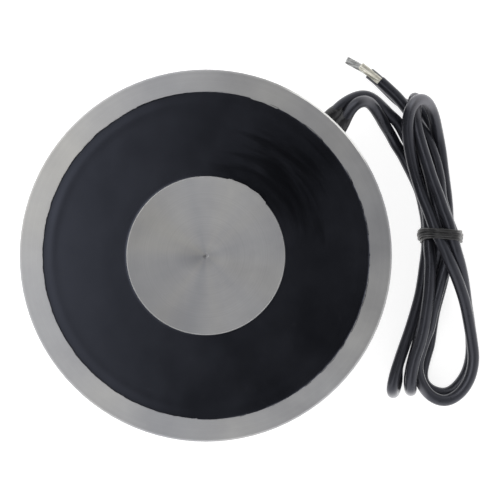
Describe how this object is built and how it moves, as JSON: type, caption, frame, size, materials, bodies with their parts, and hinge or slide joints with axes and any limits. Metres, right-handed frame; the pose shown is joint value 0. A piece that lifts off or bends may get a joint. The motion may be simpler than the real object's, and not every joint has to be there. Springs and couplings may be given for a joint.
{
  "type": "holding electromagnet",
  "caption": "Round potted holding electromagnet: a steel pot with a resin-sealed coil round its central pole, and black leads with tinned ends, folded and tied in a hank.",
  "frame": {"origin": "centre of the flat back face, on the pot's axis", "axes": "+Z along the pot's axis towards the pole face, +X towards the side where the hank lies, +Y towards the tinned ends"},
  "size_m": [0.106, 0.0891, 0.038],
  "materials": {
    "steel": "satin, ground pole face",
    "resin": "cast epoxy, soft gloss",
    "nylon": "moulded",
    "copper": "enamelled wire",
    "tape": "polyester film",
    "sleeve": "heat-shrunk",
    "black_pvc": "extruded PVC, slight sheen",
    "tinned_copper": "solder-dipped strands",
    "band_rubber": "matt"
  },
  "bodies": {
    "root": {"pot_body": "steel", "coil_bobbin": "nylon", "coil_winding": "copper", "winding_tape": "tape", "start_wire": "copper", "finish_wire": "copper", "start_splice": "tinned_copper", "finish_splice": "tinned_copper", "start_sleeve": "sleeve", "finish_sleeve": "sleeve", "lead_1_inner": "black_pvc", "lead_2_inner": "black_pvc", "lead_1_inner_conductor": "tinned_copper", "lead_2_inner_conductor": "tinned_copper", "potting_resin": "resin", "lead_exit_seal": "resin", "lead_1_tail": "black_pvc", "lead_2_tail": "black_pvc", "lead_hank": "black_pvc", "hank_band": "band_rubber", "lead_1_end": "black_pvc", "lead_2_end": "black_pvc", "lead_1_conductor": "tinned_copper", "lead_2_conductor": "tinned_copper"}
  },
  "joints": []
}
